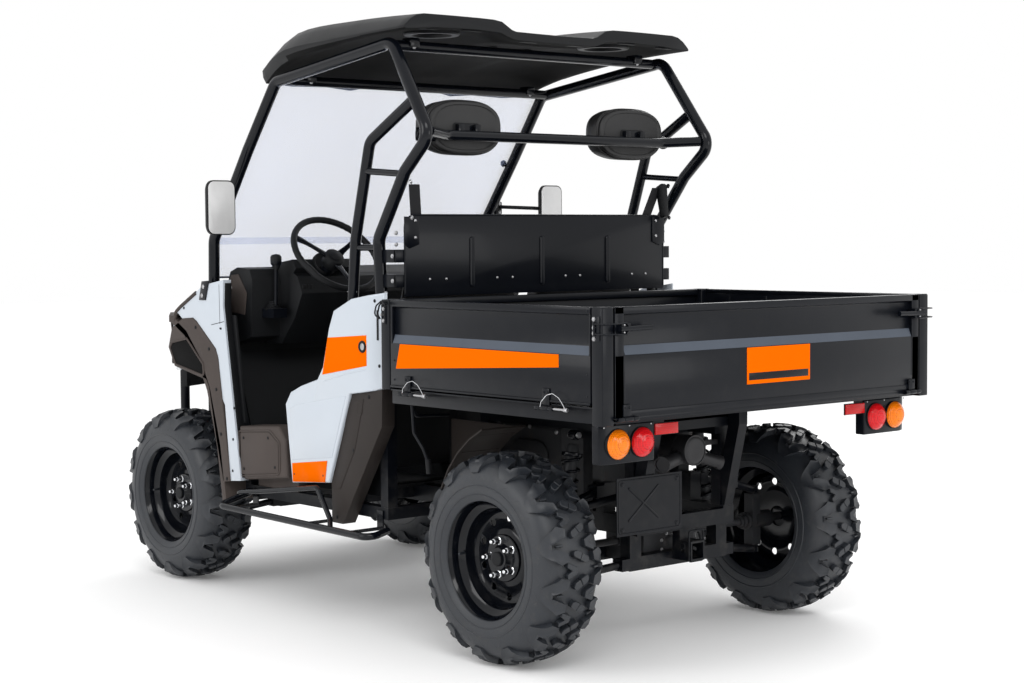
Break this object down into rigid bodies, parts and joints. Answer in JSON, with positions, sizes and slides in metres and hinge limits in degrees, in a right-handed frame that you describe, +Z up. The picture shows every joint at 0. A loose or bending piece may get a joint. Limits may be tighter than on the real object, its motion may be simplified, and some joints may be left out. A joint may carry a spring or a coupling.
{
  "type": "side by side utility vehicle",
  "caption": "Two-seat open utility vehicle with a roofed tube cage, clear windscreen, knobbly wheels that roll and steer, and a tipping flat cargo bed with drop sides.",
  "frame": {"origin": "on the ground under the middle of the vehicle's box", "axes": "+X forward, +Y to the vehicle's left, +Z up"},
  "size_m": [3.0049, 1.698, 2.06],
  "materials": {
    "frame_steel": "satin black paint",
    "black_plastic": "grained black moulding",
    "grey_plastic": "dark warm grey moulding",
    "body_white": "glossy cool white",
    "lamp_clear": "clear lens",
    "cage_black": "gloss black powder coat",
    "seat_vinyl": "black grained vinyl",
    "headrest_vinyl": "charcoal soft vinyl",
    "bed_black": "satin black paint with orange fields",
    "roof_plastic": "textured black moulding",
    "clear_screen": "clear sheet",
    "mirror_shell": "black shell, silvered face",
    "engine_iron": "dark casting",
    "exhaust_steel": "dulled steel",
    "shock_black": "black coil and damper",
    "wheel_foam": "soft black rim",
    "lamp_red": "red and amber lenses in a black box",
    "tyre_rubber": "black rubber",
    "rim_black": "gloss black steel"
  },
  "bodies": {
    "chassis": {"chassis_frame": "frame_steel", "arm_mounts": "frame_steel", "hitch_receiver": "frame_steel", "frame_towers": "frame_steel", "cab_posts": "frame_steel", "floor_tub": "black_plastic", "seat_box": "black_plastic", "quarter_panels": "body_white", "lower_panels": "black_plastic", "front_fenders": "body_white", "arch_trims": "grey_plastic", "hood": "body_white", "front_fascia": "black_plastic", "headlamps": "lamp_clear", "front_bumper": "cage_black", "dashboard": "black_plastic", "driver_controls": "frame_steel", "seat_cushions": "seat_vinyl", "seat_backs": "seat_vinyl", "headrests": "headrest_vinyl", "bulkhead_panel": "bed_black", "cage_sides": "cage_black", "cage_crossbars": "cage_black", "roof": "roof_plastic", "windscreen": "clear_screen", "mirrors": "mirror_shell", "side_steps": "cage_black", "engine_block": "engine_iron", "exhaust": "exhaust_steel", "rear_shield": "frame_steel", "suspension_arms": "frame_steel", "shocks": "shock_black", "drivetrain": "engine_iron", "rear_knuckles": "engine_iron", "footwell_boxes": "grey_plastic"},
    "steering_wheel": {"steering_wheel": "wheel_foam"},
    "knuckle_left": {"knuckle_front_left": "engine_iron"},
    "knuckle_right": {"knuckle_front_right": "engine_iron"},
    "wheel_front_left": {"tyre_front_left": "tyre_rubber", "rim_front_left": "rim_black"},
    "wheel_front_right": {"tyre_front_right": "tyre_rubber", "rim_front_right": "rim_black"},
    "wheel_rear_left": {"tyre_rear_left": "tyre_rubber", "rim_rear_left": "rim_black"},
    "wheel_rear_right": {"tyre_rear_right": "tyre_rubber", "rim_rear_right": "rim_black"},
    "cargo_bed": {"bed_deck": "bed_black", "tail_lamps": "lamp_red"},
    "tailgate": {"tailgate": "bed_black"},
    "gate_left": {"gate_left": "bed_black"},
    "gate_right": {"gate_right": "bed_black"}
  },
  "joints": [
    {"name": "steer_left", "type": "hinge", "parent": "chassis", "child": "knuckle_left", "pos_m": [1.07, 0.45, 0.33], "axis": [0, 0, 1], "range_deg": [-30, 30]},
    {"name": "steer_right", "type": "hinge", "parent": "chassis", "child": "knuckle_right", "pos_m": [1.07, -0.45, 0.33], "axis": [0, 0, 1], "range_deg": [-30, 30]},
    {"name": "steering_wheel_turn", "type": "hinge", "parent": "chassis", "child": "steering_wheel", "pos_m": [0.38, 0.335, 1.262], "axis": [-0.7431, 0, 0.6691], "range_deg": [-270, 270]},
    {"name": "roll_front_left", "type": "hinge", "parent": "knuckle_left", "child": "wheel_front_left", "pos_m": [1.07, 0.563, 0.33], "axis": [0, 1, 0], "continuous": true},
    {"name": "roll_front_right", "type": "hinge", "parent": "knuckle_right", "child": "wheel_front_right", "pos_m": [1.07, -0.563, 0.33], "axis": [0, 1, 0], "continuous": true},
    {"name": "roll_rear_left", "type": "hinge", "parent": "chassis", "child": "wheel_rear_left", "pos_m": [-0.92, 0.614, 0.33], "axis": [0, 1, 0], "continuous": true},
    {"name": "roll_rear_right", "type": "hinge", "parent": "chassis", "child": "wheel_rear_right", "pos_m": [-0.92, -0.614, 0.33], "axis": [0, 1, 0], "continuous": true},
    {"name": "bed_tilt", "type": "hinge", "parent": "chassis", "child": "cargo_bed", "pos_m": [-1.127, 0, 0.752], "axis": [0, -1, 0], "range_deg": [0, 45]},
    {"name": "tailgate_drop", "type": "hinge", "parent": "cargo_bed", "child": "tailgate", "pos_m": [-1.488, 0, 0.802], "axis": [0, 1, 0], "range_deg": [-180, 0]},
    {"name": "gate_left_drop", "type": "hinge", "parent": "cargo_bed", "child": "gate_left", "pos_m": [-0.96, 0.757, 0.825], "axis": [1, 0, 0], "range_deg": [-180, 0]},
    {"name": "gate_right_drop", "type": "hinge", "parent": "cargo_bed", "child": "gate_right", "pos_m": [-0.96, -0.757, 0.825], "axis": [-1, 0, 0], "range_deg": [-180, 0]}
  ],
  "couplings": [
    {"joint": "steer_right", "follows": "steer_left", "ratio": 1},
    {"joint": "steering_wheel_turn", "follows": "steer_left", "ratio": 9}
  ]
}
